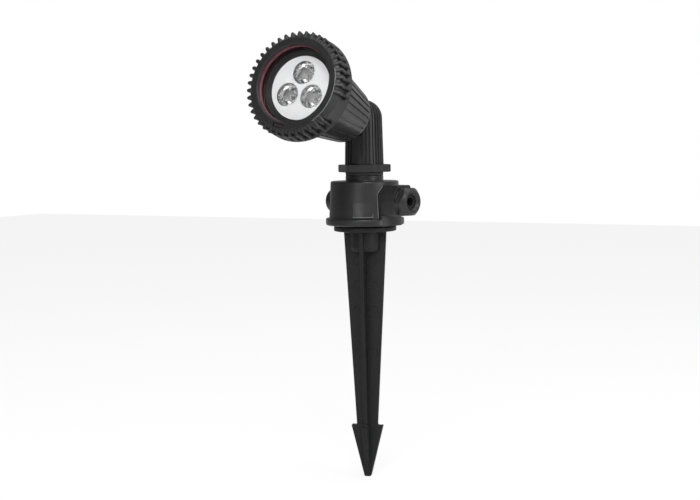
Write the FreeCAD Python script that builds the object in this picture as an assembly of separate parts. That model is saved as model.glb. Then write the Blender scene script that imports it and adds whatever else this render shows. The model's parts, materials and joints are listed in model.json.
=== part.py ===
import FreeCAD, Part
import math
import os

# Garden spike spotlight, in millimetres and degrees.
#
# The origin is on the post's axis at ground level, which is the underside of the spike's disc.
# +Z is up and the lamp faces -Y. A bearing is an angle about Z, from -Y toward +X.
# The lamp head and the cable entries are drawn along their own axis, upright, and then turned
# into place.

# ------------------------------------------------------------------ clearances
thread_gap = 0.08        # radial play of a thread, pin or swivel
slide_gap = 0.3          # between pieces that move past each other
seat_gap = 0.15          # between a fixed piece and the pocket that it sits in
slip_gap = 0.1           # axial play of a piece that turns on its seat

# ------------------------------------------------------------------ roundings
edge_runs = 2            # straight runs round a small edge
fine_runs = 4            # and round one larger than this
fine_round = 1.5

# ------------------------------------------------------------------ ground spike
disc_r = 25.7
disc_t = 4.0
disc_round = 0.8
tube_r = 12.7            # socket tube under the disc
tube_len = 17.8
tube_round = 4.0
vane_bearing = 14.5
vane_t = 3.05
vane_top_r = 17.7
vane_low_r = 8.7
barb_depth = 162.6       # from the ground to the top of the barbed point
barb_r = 13.3
barb_t = 4.6
barb_round = 1.2
spike_depth = 206.0
tip_r = 2.6
tip_round = 1.1
socket_round = 1.0
mark_r = 3.4             # round ejector marks on the cross vane
mark_deep = 0.3
mark_reach = 6.6
mark_depths = (24.9, 45.0, 65.6, 101.7)

# ------------------------------------------------------------------ junction box
hub_r = 19.3             # foot of the base plate, which stands on the spike's disc
hub_t = 1.0
stud_r = 8.0             # threaded stud of the base plate, screwed into the spike
stud_len = 12.0
plate_r = 28.8
plate_t = 3.0
flange_r = 32.2
flange_t = 5.8
flange_round = 1.2
drum_low_r = 29.4
drum_top_r = 27.9
drum_h = 30.2
drum_round = 1.2
drum_wall = 2.7
roof_t = 2.6
collar_r = 15.5
collar_h = 4.5
collar_root = 0.9
box_seal_in = 26.3
box_seal_w = 1.5
box_seal_t = 1.2
box_screw_r = 1.5
box_screw_head_r = 2.7
box_screw_head_t = 1.8
box_screw_len = 10.0
box_screw_bearing = 27.0
box_screw_count = 4
pillar_r = 3.2
pillar_h = 13.0
tab_bearing = 23.0       # wedge-shaped catch on the front of the drum
tab_w = 16.5
tab_h = 12.5
tab_proud = 0.9
tab_lift = 0.6

# ------------------------------------------------------------------ cable gland
entry_z = 24.9           # height of the gland's axis
gland_bearing = 72.0
boss_w = 23.2
boss_top = 13.1          # from the entry's axis up to the boss's flat top
boss_top_w = 12.8
boss_slope_h = 7.0
boss_face = 44.0         # from the post's axis to the boss's end face
boss_edge = 0.7
gland_thread_r = 8.0
gland_bore_r = 5.2
gland_in_len = 16.0      # threaded part inside the boss
gland_washer_r = 11.0
gland_washer_t = 1.0
gland_hex = 21.6         # across the flats
gland_hex_t = 2.4
gland_neck_r = 8.6
gland_neck_len = 3.0
gland_nut_hex = 21.8
gland_nut_r = 12.2
gland_nut_len = 6.0
gland_nut_face_r = 9.0
gland_nut_hole_r = 5.6
gland_nut_sink = 2.0     # countersink round the hole
gland_seal_r = 6.4
gland_seal_bore_r = 3.6
gland_seal_len = 8.0

# ------------------------------------------------------------------ blanked entry
plug_bearing = 252.0
plug_z = 23.8            # height of this entry's axis
port_r = 9.2
port_face = 30.5
port_bore_r = 6.0
plug_seal_t = 1.0
plug_head_r = 10.2
plug_head_t = 5.1
plug_round = 1.2
plug_shank_len = 6.0
plug_slot_w = 1.8
plug_slot_deep = 1.4

# ------------------------------------------------------------------ terminals in the box
terminal_l = 21.0
terminal_w = 11.0
terminal_h = 11.0
terminal_ways = 3
terminal_foot_h = 2.0
terminal_hole_r = 1.7
terminal_hole_z = 4.0
terminal_screw_r = 1.6
terminal_screw_t = 4.6
terminal_well_r = 2.3
terminal_well = 1.0

# ------------------------------------------------------------------ swivel and post
washer_t = 2.6
washer_round = 0.7
lock_hex = 38.2
lock_t = 6.2
lock_turn = 43.7         # bearing of one corner
lock_chamfer = 0.9
stem_r = 8.0
stem_bore_r = 4.4
stem_len = 26.0          # below the post
stem_nut_hex = 25.0
stem_nut_t = 4.0
post_low_r = 15.9
post_top_r = 15.0
post_h = 37.5            # from the lock nut up to the tilt axis
flute_count = 32
flute_rib = 35.0         # bearing of the middle of one rib
flute_share = 0.6        # part of the pitch that the groove takes
flute_deep = 0.9
flute_top = 66.0         # elevation on the dome where the grooves run out
flute_plain = 10.0       # half the angle of the plain strip down the front

# ------------------------------------------------------------------ knuckle
slot_w = 9.0
slot_drop = 14.0
tongue_r = 9.0
tilt_screw_r = 2.5
tilt_head_r = 4.4
tilt_head_t = 3.0
tilt_key_r = 2.3
tilt_key_deep = 1.8
tilt_seat = 9.4          # from the lamp's mid plane to the seat of the screw's washer
tilt_washer_t = 0.8
tilt_nut_hex = 8.0
tilt_nut_t = 4.0
tilt_past_nut = 1.5
rest_elevation = 15.0
head_drop = 6.2          # the lamp's axis passes this far below the tilt axis

# ------------------------------------------------------------------ lamp hub
hub_front_r = 15.5
hub_back_r = 12.0
hub_len = 10.0
hub_seal_r = 13.7        # middle of the seal's groove
hub_seal_w = 1.3
hub_seal_t = 1.2
hub_screw_ring = 9.4
hub_screw_count = 3
hub_screw_r = 1.5
hub_screw_head_r = 2.8
hub_screw_head_t = 2.0
hub_screw_grip = 6.0
lead_bore_r = 2.1
lead_drop = 5.7

# ------------------------------------------------------------------ lamp body
body_back = 33.1         # from the tilt axis, along the lamp's axis
body_back_r = 22.7
body_back_edge = 0.8
cone_angle = 8.4
back_wall = 5.0
cavity_back_r = 18.8
cavity_front_r = 24.3
rib_count = 32
rib_groove_at = 0.25     # angle of one groove
rib_groove_angle = 3.8
rib_groove_deep = 1.1
rib_plain_back = 2.6     # plain rim behind the ribs
rib_runout = 2.4
thread_r = 34.0
thread_flare = 1.8
mouth_r = 30.0

# ------------------------------------------------------------------ front ring
ring_front = 118.3       # from the tilt axis
ring_len = 17.3
ring_side_r = 40.3
ring_face_r = 35.1
ring_bore_r = 29.75
ring_face_t = 1.8
ring_shoulder = 2.4
ring_edge = 0.5
ring_rim = 0.3
bead_count = 42
bead_at = 5.3            # angle of one bead
bead_r = 1.65
bead_proud = 2.9
bead_sides = 12
bead_drop = 0.5          # the ribs' crests meet the rim this far below the face
bead_fall = 1.7          # and are this much lower at the back of the ring
panel_from = 37          # a plain panel takes the place of these ribs
panel_beads = 3
panel_gap = 1.3          # angle between the panel and the next valley
panel_drop = 0.6
valley_step = 1.5
drain_w = 10.0
drain_h = 3.5
drain_r = 33.0
drain_at = 255.5

# ------------------------------------------------------------------ glass and gasket
glass_t = 3.0
glass_r = 31.5
gasket_t = 1.0           # behind the glass
gasket_front_t = 4.2     # in front of it
gasket_bore_r = 29.3

# ------------------------------------------------------------------ light unit
baffle_h = 2.3
baffle_low_r = 24.5
baffle_top_r = 28.8
plate_white_t = 1.5
cup_r = 26.3
cup_wall = 1.8
cup_floor = 4.0
cup_h = 18.5
pad_t = 0.4
board_t = 1.6
board_r = 22.0
lens_ring = 11.8
lens_turn = -5.6         # the three lenses are turned this much from upright
lens_r = 9.0
lens_lip_r = 9.7
lens_lip_t = 1.2
lens_foot_r = 3.9
lens_recess = 0.4
lens_dish = 1.1
lens_well_r = 2.7
lens_well = 2.6
led_side = 3.4
led_base_t = 0.7
led_dome_r = 1.4
board_screw_r = 1.25
board_screw_head_r = 2.3
board_screw_head_t = 1.6
board_screw_len = 4.6
board_screw_ring = 17.0

# ------------------------------------------------------------------ driver
case_r = 14.6
case_len = 36.0
case_wall = 1.3
driver_w = 22.0
driver_l = 31.0
driver_t = 1.6
driver_drop = 2.0
coil_side = 9.0
coil_h = 7.5
cap_r = 3.2
cap_l = 10.0

# ------------------------------------------------------------------ levels that follow
z_base = disc_t + hub_t
z_plate = z_base + plate_t
z_flange = z_base + flange_t
z_roof = z_flange + drum_h
z_collar = z_roof + collar_h
z_washer = z_collar + washer_t
z_lock = z_washer + slip_gap
z_post = z_lock + lock_t
z_tilt = z_post + post_h
ring_back = ring_front - ring_len
ring_corner = ring_front - ring_shoulder
gasket_front = ring_front - ring_face_t
glass_front = gasket_front - gasket_front_t
glass_back = glass_front - glass_t
body_front = glass_back - gasket_t
baffle_back = body_front - baffle_h
cup_front = baffle_back - plate_white_t
cup_back = cup_front - cup_h
pad_back = cup_back + cup_floor
board_back = pad_back + pad_t
board_front = board_back + board_t
cavity_floor = body_back + back_wall
cavity_r = drum_top_r - drum_wall
box_screw_ring = hub_r + box_screw_head_r + 2 * seat_gap
ring_thread_r = thread_r + thread_gap
tongue_w = slot_w - 2 * slide_gap

AXIS = FreeCAD.Vector(0, 0, 1)
ORIGIN = FreeCAD.Vector(0, 0, 0)
ACROSS = FreeCAD.Vector(1, 0, 0)


# ------------------------------------------------------------------ drawing helpers
def outline(points):
    """Closed wire in the XZ plane. A third number rounds that corner by that radius."""
    wire = []
    for i, point in enumerate(points):
        here = FreeCAD.Vector(point[0], 0, point[1])
        if len(point) < 3 or point[2] <= 0:
            wire.append(here)
            continue
        after = points[(i + 1) % len(points)]
        to_last = (FreeCAD.Vector(points[i - 1][0], 0, points[i - 1][1]) - here).normalize()
        to_next = (FreeCAD.Vector(after[0], 0, after[1]) - here).normalize()
        half = to_last.getAngle(to_next) / 2
        centre = here + (to_last + to_next).normalize() * (point[2] / math.sin(half))
        first = here + to_last * (point[2] / math.tan(half)) - centre
        last = here + to_next * (point[2] / math.tan(half)) - centre
        runs = fine_runs if point[2] > fine_round else edge_runs
        sweep = math.pi - 2 * half
        for k in range(runs + 1):
            share = k / runs
            wire.append(centre + (first * math.sin((1 - share) * sweep) +
                                  last * math.sin(share * sweep)) * (1 / math.sin(sweep)))
    closed = [wire[0]]
    for corner in wire[1:] + wire[:1]:
        if corner.distanceToPoint(closed[-1]) > 1e-6:
            closed.append(corner)
    return Part.makePolygon(closed)


def turned(points, angle=360.0):
    """Solid of the (radius, height) outline turned about Z, centred on +X if it is a part turn."""
    solid = Part.Face(outline(points)).revolve(ORIGIN, AXIS, angle)
    if angle < 360.0:
        solid.rotate(ORIGIN, AXIS, -angle / 2)
    return solid


def slab(points, thickness):
    """Plate of the (x, z) outline, centred on the XZ plane."""
    solid = Part.Face(outline(points)).extrude(FreeCAD.Vector(0, thickness, 0))
    solid.translate(FreeCAD.Vector(0, -thickness / 2, 0))
    return solid


def rod(radius, z0, z1, x=0.0, y=0.0):
    return Part.makeCylinder(radius, z1 - z0, FreeCAD.Vector(x, y, z0))


def tube(outer, inner, z0, z1):
    return turned([(inner, z0), (outer, z0), (outer, z1), (inner, z1)])


def block(x0, x1, y0, y1, z0, z1):
    return Part.makeBox(x1 - x0, y1 - y0, z1 - z0, FreeCAD.Vector(x0, y0, z0))


def cross_rod(radius, x0, x1):
    """Rod along X through the origin."""
    return Part.makeCylinder(radius, x1 - x0, FreeCAD.Vector(x0, 0, 0), ACROSS)


def hexagon(across_flats, z0, z1):
    """Hexagonal prism about Z with one corner on +X."""
    corner = across_flats / 2 / math.cos(math.pi / 6)
    ring = [FreeCAD.Vector(corner, 0, z0)]
    for _ in range(6):
        x, y = ring[-1].x, ring[-1].y
        ring.append(FreeCAD.Vector(x / 2 - y * math.sqrt(0.75), y / 2 + x * math.sqrt(0.75), z0))
    ring[-1] = ring[0]
    return Part.Face(Part.makePolygon(ring)).extrude(FreeCAD.Vector(0, 0, z1 - z0))


def spun(shape, angle):
    copy = shape.copy()
    copy.rotate(ORIGIN, AXIS, angle)
    return copy


def moved(shape, x=0.0, y=0.0, z=0.0):
    copy = shape.copy()
    copy.translate(FreeCAD.Vector(x, y, z))
    return copy


def around(shape, count, first=0.0):
    """Copies of the shape at equal angles about Z."""
    return [spun(shape, first + 360.0 * i / count) for i in range(count)]


def ringed(shape, count, radius, first=0.0):
    """Copies of an upright shape, moved out to a circle about Z."""
    return around(moved(shape, x=radius), count, first)


def join(first, *others):
    return first.fuse(list(others)).removeSplitter()


def bored(shape, *tools):
    return shape.cut(list(tools))


def entry(shape, bearing, height):
    """Turns a piece drawn along +Z into a cable entry: +Z points out, +Y points up."""
    copy = shape.copy()
    copy.rotate(ORIGIN, ACROSS, 90)
    copy.rotate(ORIGIN, AXIS, bearing)
    copy.translate(FreeCAD.Vector(0, 0, height))
    return copy


def aimed(shape):
    """Turns a piece drawn along the lamp's axis into the lamp's place on the tilt axis."""
    copy = shape.copy()
    copy.translate(FreeCAD.Vector(0, -head_drop, 0))
    copy.rotate(ORIGIN, ACROSS, 90 - rest_elevation)
    copy.translate(FreeCAD.Vector(0, 0, z_tilt))
    return copy


def cone_r(t):
    """Outer radius of the lamp body's cone at a distance from the tilt axis."""
    return body_back_r + (t - body_back) * math.tan(math.radians(cone_angle))


parts = {}


# ------------------------------------------------------------------ ground spike
def ground_spike():
    """Disc, socket tube, cross vanes that taper down, and a barbed point of thicker vanes."""
    vane = slab([(-vane_top_r, 0), (vane_top_r, 0), (vane_low_r, -barb_depth),
                 (-vane_low_r, -barb_depth)], vane_t)
    point = slab([(-vane_low_r, -barb_depth + barb_round), (-vane_low_r, -barb_depth, 0.9),
                  (-barb_r, -barb_depth, 0.3), (-tip_r, -spike_depth, tip_round),
                  (tip_r, -spike_depth, tip_round), (barb_r, -barb_depth, 0.3),
                  (vane_low_r, -barb_depth, 0.9), (vane_low_r, -barb_depth + barb_round),
                  (0, -barb_depth + barb_round)], barb_t)
    core = turned([(0, -spike_depth), (tip_r - tip_round, -spike_depth, 0.4),
                   (barb_t * 0.6, -barb_depth), (vane_t * 0.75, -barb_depth + barb_t),
                   (vane_t * 0.75, 0), (0, 0)])
    top = turned([(0, -tube_len), (tube_r, -tube_len, tube_round), (tube_r, 0, socket_round),
                  (disc_r, 0, disc_round), (disc_r, disc_t, disc_round), (0, disc_t)])
    spike = join(top, vane, spun(vane, 90), point, spun(point, 90), core)
    marks = []
    for depth in mark_depths:
        for side in (-1, 1):
            mark = rod(mark_r, vane_t / 2 - mark_deep, vane_t)
            mark.rotate(ORIGIN, ACROSS, 90)
            marks.append(moved(mark, x=side * mark_reach, z=-depth))
    socket = rod(stud_r + seat_gap, disc_t - stud_len - seat_gap, disc_t)
    spike = bored(spike, socket, *marks)
    return spun(spike, vane_bearing)


parts["ground_spike"] = ground_spike()


# ------------------------------------------------------------------ junction box
def screw_places(shape):
    """Copies of an upright shape at the box's screws."""
    return ringed(shape, box_screw_count, box_screw_ring, box_screw_bearing - 90)


def box_base():
    """Base plate with its foot, the stud that screws into the spike and four screw holes."""
    base = turned([(0, disc_t - stud_len), (stud_r, disc_t - stud_len, 0.8), (stud_r, disc_t),
                   (hub_r, disc_t, 0.3), (hub_r, z_base), (plate_r, z_base, 0.5),
                   (plate_r, z_plate), (0, z_plate)])
    hole = rod(box_screw_r + seat_gap, z_base, z_plate)
    pocket = rod(box_screw_head_r + seat_gap, z_base, z_base + box_screw_head_t)
    return bored(base, *screw_places(hole.fuse(pocket)))


def box_screw():
    seat = z_base + box_screw_head_t
    head = rod(box_screw_head_r, z_base, seat)
    slot = turned([(0, z_base), (1.1, z_base), (0, z_base + 1.1)])
    return join(head, rod(box_screw_r, seat, seat + box_screw_len)).cut(slot)


def gland_boss():
    """Flat-topped boss with sloped shoulders and a round underside, drawn along +Z."""
    half = boss_w / 2
    flat = boss_top_w / 2
    arch = Part.Face(outline([(-half, 0), (half, 0), (half, boss_top - boss_slope_h),
                              (flat, boss_top, 0.8), (-flat, boss_top, 0.8),
                              (-half, boss_top - boss_slope_h)]))
    arch = arch.extrude(FreeCAD.Vector(0, -boss_face, 0))
    arch.rotate(ORIGIN, ACROSS, -90)
    low = turned([(0, 0), (half, 0), (half, boss_face, boss_edge), (0, boss_face)])
    return join(arch, low)


def box_cover():
    """Drum with its flange, collar, front catch, gland boss and the port of the second entry."""
    drum = turned([(0, z_base), (flange_r, z_base, flange_round), (flange_r, z_flange, 1.0),
                   (drum_low_r, z_flange, 0.5), (drum_top_r, z_roof, drum_round),
                   (collar_r, z_roof, collar_root), (collar_r, z_collar, 0.4), (0, z_collar)])
    slope = (drum_low_r - drum_top_r) / drum_h
    tab_z = z_flange + tab_lift
    tab = turned([(drum_top_r - drum_wall, tab_z), (drum_low_r + tab_proud, tab_z, 0.3),
                  (drum_low_r - slope * (tab_h + tab_lift), tab_z + tab_h),
                  (drum_top_r - drum_wall, tab_z + tab_h)])
    tab = tab.common(block(-tab_w / 2, tab_w / 2, -flange_r, 0, tab_z, z_roof))
    foot = rod(flange_r, z_base, entry_z).common(
        block(-boss_w / 2, boss_w / 2, -flange_r, 0, z_base, entry_z))
    port = rod(port_r, 0, port_face)
    cover = join(drum, spun(tab, tab_bearing), spun(foot, gland_bearing),
                 entry(gland_boss(), gland_bearing, entry_z), entry(port, plug_bearing, plug_z))
    cover = bored(cover, rod(plate_r + seat_gap, z_base, z_plate),
                  rod(cavity_r, z_plate, z_roof - roof_t))
    pillar = rod(pillar_r, z_plate, z_plate + pillar_h)
    cover = join(cover, *screw_places(pillar))
    seat = z_base + box_screw_head_t
    hole = rod(box_screw_r + seat_gap / 3, z_plate, seat + box_screw_len + 0.5)
    groove = tube(box_seal_in + box_seal_w + seat_gap, box_seal_in - seat_gap,
                  z_plate, z_plate + box_seal_t)
    return bored(cover, groove, *screw_places(hole),
                 rod(stem_r + thread_gap, z_roof - roof_t, z_collar),
                 entry(rod(gland_thread_r + thread_gap, 0, boss_face), gland_bearing, entry_z),
                 entry(rod(port_bore_r + thread_gap, 0, port_face), plug_bearing, plug_z))


parts["box_base"] = box_base()
parts["box_cover"] = box_cover()
parts["box_seal"] = tube(box_seal_in + box_seal_w, box_seal_in, z_plate, z_plate + box_seal_t)
parts["box_screws"] = Part.makeCompound(screw_places(box_screw()))


# ------------------------------------------------------------------ terminals
def terminal_pitch():
    return terminal_l / terminal_ways


def terminal_places(shape):
    """Copies of a shape at the terminal block's ways, along the block."""
    first = -terminal_pitch() * (terminal_ways - 1) / 2
    return [moved(shape, x=first + terminal_pitch() * i) for i in range(terminal_ways)]


def terminal_block():
    """Screw terminal block with a notch between its ways."""
    z0 = z_plate
    top = z0 + terminal_h
    body = block(-terminal_l / 2, terminal_l / 2, -terminal_w / 2, terminal_w / 2, z0, top)
    wire = Part.makeCylinder(terminal_hole_r, terminal_w,
                             FreeCAD.Vector(0, -terminal_w / 2, z0 + terminal_hole_z),
                             FreeCAD.Vector(0, 1, 0))
    well = rod(terminal_well_r, top - terminal_well - terminal_screw_t, top)
    notch = slab([(-0.5, z0 + terminal_foot_h), (0.5, z0 + terminal_foot_h), (0.5, top),
                  (-0.5, top)], terminal_w)
    notches = [moved(notch, x=terminal_pitch() * (i - terminal_ways / 2))
               for i in range(1, terminal_ways)]
    return bored(body, *terminal_places(wire), *terminal_places(well), *notches)


def terminal_screw():
    top = z_plate + terminal_h - terminal_well
    head = rod(terminal_screw_r, top - terminal_screw_t, top)
    return head.cut(block(-terminal_screw_r, terminal_screw_r, -0.3, 0.3, top - 0.8, top))


parts["terminal_block"] = spun(terminal_block(), gland_bearing)
parts["terminal_screws"] = spun(Part.makeCompound(terminal_places(terminal_screw())),
                                gland_bearing)


# ------------------------------------------------------------------ cable gland
gland_hex_back = boss_face + gland_washer_t
gland_hex_front = gland_hex_back + gland_hex_t
gland_neck_front = gland_hex_front + gland_neck_len
gland_nut_back = gland_hex_front + slip_gap
gland_nut_front = gland_nut_back + gland_nut_len


def gland_body():
    """Threaded tube with a hexagon, which holds the cable seal in its outer end."""
    corner = gland_hex / 2 / math.cos(math.pi / 6)
    edge = turned([(0, gland_hex_back), (corner - 0.5, gland_hex_back),
                   (corner, gland_hex_back + 0.5), (corner, gland_hex_front - 0.5),
                   (corner - 0.5, gland_hex_front), (0, gland_hex_front)])
    collar = hexagon(gland_hex, gland_hex_back, gland_hex_front).common(edge)
    body = join(collar, rod(gland_thread_r, boss_face - gland_in_len, gland_hex_back),
                rod(gland_neck_r, gland_hex_front, gland_neck_front))
    return bored(body, rod(gland_bore_r, boss_face - gland_in_len, gland_neck_front),
                 rod(gland_seal_r, gland_neck_front - gland_seal_len, gland_neck_front))


def gland_nut():
    """Hexagonal nut with a domed face and a chamfered hole for the cable."""
    dome = turned([(0, gland_nut_back), (gland_nut_r - 0.4, gland_nut_back),
                   (gland_nut_r, gland_nut_back + 0.4),
                   (gland_nut_r, gland_nut_back + gland_nut_len * 0.5, 1.5),
                   (gland_nut_face_r, gland_nut_front, 0.6), (0, gland_nut_front)])
    nut = hexagon(gland_nut_hex, gland_nut_back, gland_nut_front).common(dome)
    inside = turned([(0, gland_nut_back), (gland_neck_r + thread_gap, gland_nut_back),
                     (gland_neck_r + thread_gap, gland_neck_front + slide_gap),
                     (gland_nut_hole_r, gland_neck_front + slide_gap),
                     (gland_nut_hole_r, gland_nut_front - gland_nut_sink),
                     (gland_nut_hole_r + gland_nut_sink, gland_nut_front), (0, gland_nut_front)])
    return nut.cut(inside)


parts["gland_body"] = entry(gland_body(), gland_bearing, entry_z)
parts["gland_washer"] = entry(
    tube(gland_washer_r, gland_thread_r, boss_face, gland_hex_back), gland_bearing, entry_z)
parts["gland_seal"] = entry(
    turned([(gland_seal_bore_r, gland_neck_front - gland_seal_len),
            (gland_seal_r, gland_neck_front - gland_seal_len),
            (gland_seal_r, gland_neck_front - 0.6), (gland_seal_r - 0.8, gland_neck_front),
            (gland_seal_bore_r, gland_neck_front)]), gland_bearing, entry_z)
parts["gland_nut"] = entry(gland_nut(), gland_bearing, entry_z)


# ------------------------------------------------------------------ blanked entry
plug_seat = port_face + plug_seal_t


def blanking_plug():
    """Screw plug with a rounded head and a coin slot."""
    front = plug_seat + plug_head_t
    plug = turned([(0, plug_seat - plug_shank_len), (port_bore_r, plug_seat - plug_shank_len, 0.6),
                   (port_bore_r, plug_seat), (plug_head_r, plug_seat, 0.3),
                   (plug_head_r, front, plug_round), (0, front)])
    slot = block(-plug_slot_w / 2, plug_slot_w / 2, -plug_head_r * 0.75, plug_head_r * 0.75,
                 front - plug_slot_deep, front)
    return plug.cut(slot)


parts["blanking_plug"] = entry(blanking_plug(), plug_bearing, plug_z)
parts["plug_seal"] = entry(tube(port_r - 0.1, port_bore_r, port_face, plug_seat), plug_bearing, plug_z)


# ------------------------------------------------------------------ swivel
parts["swivel_washer"] = turned([(stem_r + slide_gap, z_collar), (collar_r, z_collar, washer_round),
                                 (collar_r, z_washer, washer_round), (stem_r + slide_gap, z_washer)])


def flat_nut(across, z0, z1, chamfer):
    """Hexagonal nut on the stem, with its corners chamfered top and bottom."""
    corner = across / 2 / math.cos(math.pi / 6)
    rise = chamfer * 0.6
    edge = turned([(0, z0), (corner - chamfer, z0), (corner, z0 + rise), (corner, z1 - rise),
                   (corner - chamfer, z1), (0, z1)])
    return hexagon(across, z0, z1).common(edge).cut(rod(stem_r + thread_gap, z0, z1))


stem_nut_top = z_roof - roof_t - slip_gap
parts["lock_nut"] = spun(flat_nut(lock_hex, z_lock, z_post, lock_chamfer), lock_turn - 90)
parts["stem_nut"] = flat_nut(stem_nut_hex, stem_nut_top - stem_nut_t, stem_nut_top, 0.8)


# ------------------------------------------------------------------ post
def dome_point(radius, elevation):
    turn = math.radians(elevation)
    return (radius * math.cos(turn), z_tilt + radius * math.sin(turn))


def post_blank():
    """Tapered post with a round dome and the threaded stem below it."""
    foot = z_post - stem_len
    side = [FreeCAD.Vector(x, 0, z) for x, z in
            [(0, foot), (stem_r - 0.8, foot), (stem_r, foot + 0.8), (stem_r, z_post),
             (post_low_r, z_post), (post_top_r, z_tilt)]]
    edges = [Part.LineSegment(a, b).toShape() for a, b in zip(side, side[1:])]
    middle, top = dome_point(post_top_r, 45), dome_point(post_top_r, 90)
    edges.append(Part.Arc(side[-1], FreeCAD.Vector(middle[0], 0, middle[1]),
                          FreeCAD.Vector(0, 0, top[1])).toShape())
    edges.append(Part.LineSegment(FreeCAD.Vector(0, 0, top[1]), side[0]).toShape())
    return Part.Face(Part.Wire(edges)).revolve(ORIGIN, AXIS, 360)


def post_groove():
    """One groove between two ribs: up the taper, over the dome and out."""
    inner = post_top_r - flute_deep
    start = FreeCAD.Vector(post_low_r - flute_deep, 0, z_post)
    waist = FreeCAD.Vector(inner, 0, z_tilt)
    bend = dome_point(inner, flute_top / 2)
    end = dome_point(post_top_r, flute_top + 6)
    last = dome_point(inner, flute_top)
    far = dome_point(post_top_r + 3, flute_top)
    out = dome_point(post_top_r + 3, flute_top / 2)
    wide = FreeCAD.Vector(post_low_r + 3, 0, z_post)
    shoulder = FreeCAD.Vector(post_top_r + 3, 0, z_tilt)
    vector = [FreeCAD.Vector(p[0], 0, p[1]) for p in (bend, last, end, far, out)]
    edges = [Part.LineSegment(start, waist).toShape(),
             Part.Arc(waist, vector[0], vector[1]).toShape(),
             Part.LineSegment(vector[1], vector[2]).toShape(),
             Part.LineSegment(vector[2], vector[3]).toShape(),
             Part.Arc(vector[3], vector[4], shoulder).toShape(),
             Part.LineSegment(shoulder, wide).toShape(),
             Part.LineSegment(wide, start).toShape()]
    angle = 360.0 / flute_count * flute_share
    groove = Part.Face(Part.Wire(edges)).revolve(ORIGIN, AXIS, angle)
    groove.rotate(ORIGIN, AXIS, -angle / 2)
    return groove


def fork_slot():
    """Slot for the tongue, open to the front and over the top, round behind the screw."""
    half = slot_w / 2
    back = tongue_r + slide_gap
    over = post_top_r + 5
    front = block(-half, half, -post_low_r - 5, 0, -slot_drop, over)
    upper = block(-half, half, 0, back, 0, over)
    return moved(join(front, upper, cross_rod(back, -half, half)), z=z_tilt)


tilt_nut_out = slot_w / 2 + seat_gap + tilt_nut_t
tilt_tip = tilt_nut_out + tilt_past_nut


def knuckle_post():
    """Fluted post whose dome is a fork for the lamp's tongue, with a hollow stem."""
    first_groove = flute_rib - 90 + 180.0 / flute_count
    turns = [first_groove + 360.0 * i / flute_count for i in range(flute_count)]
    grooves = [spun(post_groove(), turn) for turn in turns
               if abs((turn + 270.0) % 360.0 - 180.0) > flute_plain]
    post = bored(post_blank(), *grooves)
    pin = cross_rod(tilt_screw_r + thread_gap, -post_low_r, tilt_tip + seat_gap)
    head = cross_rod(tilt_head_r + slide_gap, -post_low_r - 1, -tilt_seat)
    pocket = hexagon(tilt_nut_hex + 2 * seat_gap, 0, tilt_nut_out)
    pocket.rotate(ORIGIN, FreeCAD.Vector(0, 1, 0), 90)
    lead = rod(stem_bore_r, z_post - stem_len, z_tilt - slot_drop + tongue_r / 2)
    return bored(post, fork_slot(), moved(pin, z=z_tilt), moved(head, z=z_tilt),
                 moved(pocket, z=z_tilt), lead)


def tilt_screw():
    """Cross screw with a round head and a hexagon socket."""
    seat = -tilt_seat - tilt_washer_t
    screw = join(cross_rod(tilt_screw_r, seat, tilt_tip),
                 cross_rod(tilt_head_r, seat - tilt_head_t, seat))
    key = hexagon(tilt_key_r * 1.7, 0, tilt_key_deep)
    key.rotate(ORIGIN, FreeCAD.Vector(0, 1, 0), 90)
    return moved(screw.cut(moved(key, x=seat - tilt_head_t)), z=z_tilt)


def tilt_nut():
    nut = hexagon(tilt_nut_hex, tilt_nut_out - tilt_nut_t, tilt_nut_out)
    nut = nut.cut(rod(tilt_screw_r, 0, tilt_nut_out))
    nut.rotate(ORIGIN, FreeCAD.Vector(0, 1, 0), 90)
    return moved(nut, z=z_tilt)


parts["knuckle_post"] = knuckle_post()
parts["tilt_screw"] = tilt_screw()
parts["tilt_washer"] = moved(
    cross_rod(tilt_head_r, -tilt_seat - tilt_washer_t, -tilt_seat).cut(
        cross_rod(tilt_screw_r, -tilt_seat - tilt_washer_t, -tilt_seat)), z=z_tilt)
parts["tilt_nut"] = tilt_nut()


# ------------------------------------------------------------------ lamp hub and tongue
def hub_screw_places(shape):
    return [moved(copy, y=head_drop)
            for copy in ringed(shape, hub_screw_count, hub_screw_ring, 90)]


def knuckle_tongue():
    """Hub that is screwed to the lamp body, with the tongue that sits in the post's fork."""
    back = body_back - hub_len
    hub = turned([(0, back), (hub_back_r, back, 0.8), (hub_front_r, body_back - 1.0, 0.5),
                  (hub_front_r, body_back), (0, body_back)])
    half = tongue_w / 2
    arm = block(-half, half, -tongue_r, tongue_r, 0, back + 1)
    tongue = join(hub, arm, cross_rod(tongue_r, -half, half))
    groove = tube(hub_seal_r + hub_seal_w / 2, hub_seal_r - hub_seal_w / 2,
                  body_back - hub_seal_t, body_back)
    tongue = bored(tongue, groove, cross_rod(tilt_screw_r + thread_gap, -half, half),
                   rod(lead_bore_r, -tongue_r, body_back, y=-lead_drop))
    tongue = moved(tongue, y=head_drop)
    hole = rod(hub_screw_r + seat_gap / 3, body_back - hub_screw_grip - 0.5, body_back)
    return bored(tongue, *hub_screw_places(hole))


hub_screw_seat = cavity_floor - hub_screw_head_t


def hub_screw():
    head = rod(hub_screw_head_r, hub_screw_seat, cavity_floor)
    cross = turned([(0, cavity_floor), (1.2, cavity_floor), (0, cavity_floor - 1.2)])
    shank = rod(hub_screw_r, body_back - hub_screw_grip, hub_screw_seat)
    return join(head, shank).cut(cross)


parts["knuckle_tongue"] = aimed(knuckle_tongue())
parts["hub_seal"] = aimed(moved(
    tube(hub_seal_r + hub_seal_w / 2, hub_seal_r - hub_seal_w / 2, body_back - hub_seal_t,
         body_back), y=head_drop))
parts["hub_screws"] = aimed(Part.makeCompound(hub_screw_places(hub_screw())))


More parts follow.
